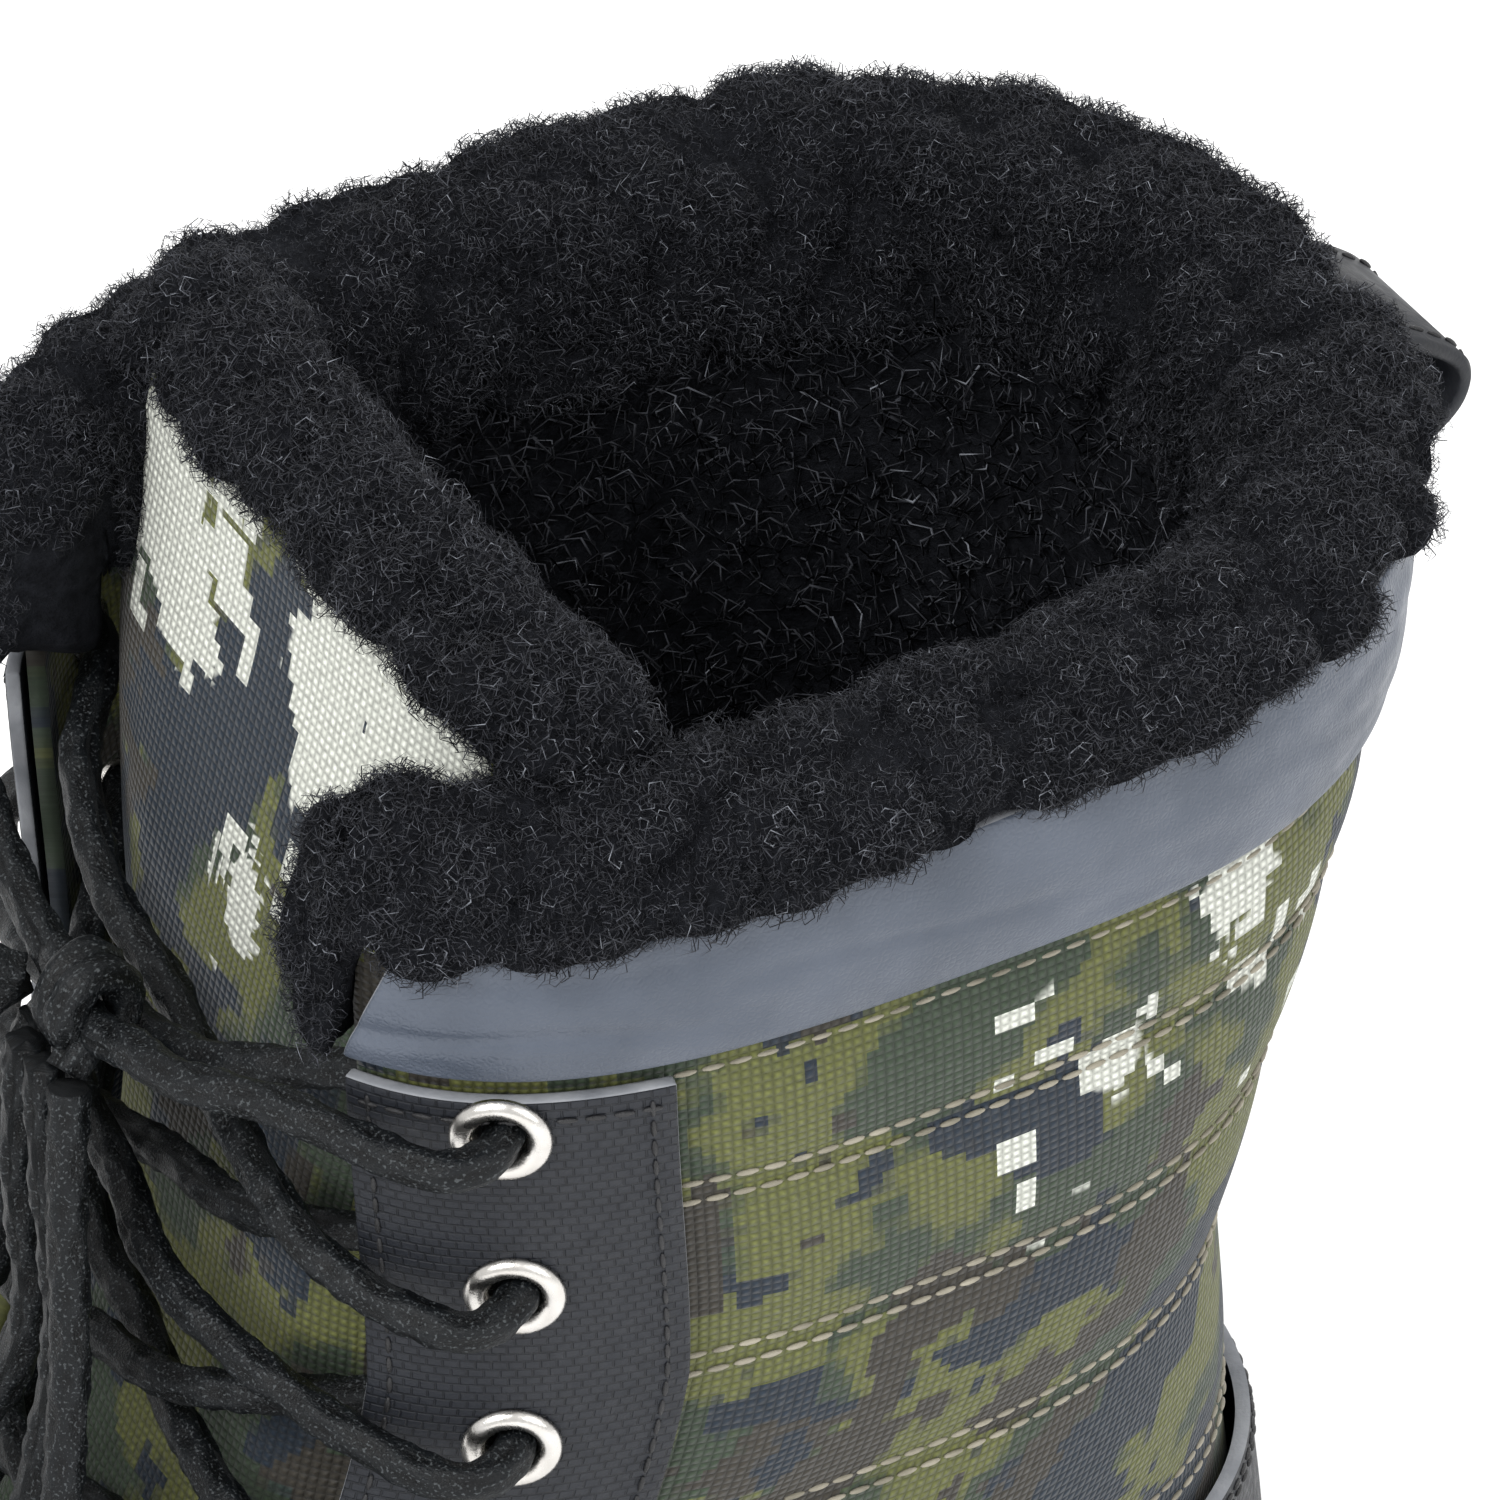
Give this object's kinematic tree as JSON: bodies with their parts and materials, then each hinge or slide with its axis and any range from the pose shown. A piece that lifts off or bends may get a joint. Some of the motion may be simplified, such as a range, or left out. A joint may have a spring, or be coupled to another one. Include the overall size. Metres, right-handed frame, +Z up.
{
  "type": "insulated hunting boot",
  "caption": "Left insulated lace-up hunting boot with camouflage canvas shaft, leather collar band, thick dark fleece collar and lining, padded tongue, tied lace, back pull loop and lugged rubber sole.",
  "frame": {"origin": "on the ground under the middle of the leg opening, on the flat under side of the heel", "axes": "+Z up along the leg, -Y towards the toe, +X towards the wearer's left, which is the outer side of this left boot"},
  "size_m": [0.1106, 0.3267, 0.2382],
  "materials": {
    "camo_canvas": "coarse woven canvas printed with a camouflage pattern",
    "band_leather": "smooth satin slate-black leather",
    "facing_leather": "black leather embossed with a basket weave",
    "black_fleece": "clumpy curly pile",
    "wadding": "felted insulation",
    "board": "pressed fibre board",
    "foam": "closed-cell foam",
    "black_rubber": "matt moulded rubber",
    "steel": "plain spring steel",
    "nickel": "satin nickel",
    "lace_cord": "braided and waxed",
    "aglet_plastic": "smooth"
  },
  "bodies": {
    "boot": {"quarter_lateral": "camo_canvas", "eyelet_facing_lateral": "facing_leather", "eyelet_lateral_1": "nickel", "eyelet_lateral_2": "nickel", "eyelet_lateral_3": "nickel", "eyelet_lateral_4": "nickel", "eyelet_lateral_5": "nickel", "eyelet_lateral_6": "nickel", "eyelet_lateral_7": "nickel", "quarter_medial": "camo_canvas", "eyelet_facing_medial": "facing_leather", "eyelet_medial_1": "nickel", "eyelet_medial_2": "nickel", "eyelet_medial_3": "nickel", "eyelet_medial_4": "nickel", "eyelet_medial_5": "nickel", "eyelet_medial_6": "nickel", "eyelet_medial_7": "nickel", "vamp": "facing_leather", "heel_counter": "facing_leather", "heel_stiffener": "board", "backstay": "facing_leather", "collar_band": "band_leather", "insulation_shaft": "wadding", "insulation_foot": "wadding", "fleece_lining_shaft": "black_fleece", "fleece_lining_foot": "black_fleece", "collar_fleece": "black_fleece", "tongue_cover": "camo_canvas", "tongue_padding": "foam", "tongue_fleece": "black_fleece", "lace_run_a": "lace_cord", "lace_run_b": "lace_cord", "bow_knot": "lace_cord", "bow_loop_a": "lace_cord", "bow_loop_b": "lace_cord", "lace_end_a": "lace_cord", "lace_end_b": "lace_cord", "aglet_a": "aglet_plastic", "aglet_b": "aglet_plastic", "outsole": "black_rubber", "midsole": "foam", "shank": "steel", "rand": "black_rubber", "insole_board": "board", "footbed": "foam"},
    "toe": {"toe_cap": "facing_leather", "toe_puff": "board"},
    "tongue_top": {"tongue_top_cover": "camo_canvas", "tongue_top_padding": "foam", "tongue_top_fleece": "black_fleece", "tongue_top_roll": "black_fleece"},
    "pull_loop": {"pull_loop": "band_leather"}
  },
  "joints": [
    {"name": "toe_flex", "type": "hinge", "parent": "boot", "child": "toe", "pos_m": [0, -0.165, 0.012], "axis": [-1, 0, 0], "range_deg": [0, 25], "stiffness_Nm_per_rad": 4, "deforming": ["outsole", "midsole", "rand", "vamp", "insulation_foot", "fleece_lining_foot", "insole_board", "footbed"]},
    {"name": "tongue_fold", "type": "hinge", "parent": "boot", "child": "tongue_top", "pos_m": [0, -0.026, 0.2115], "axis": [-1, 0, 0], "range_deg": [0, 16], "stiffness_Nm_per_rad": 0.08},
    {"name": "pull_loop_lift", "type": "hinge", "parent": "boot", "child": "pull_loop", "pos_m": [0, 0.0815, 0.2042], "axis": [-1, 0, 0], "range_deg": [0, 20], "stiffness_Nm_per_rad": 0.01}
  ]
}
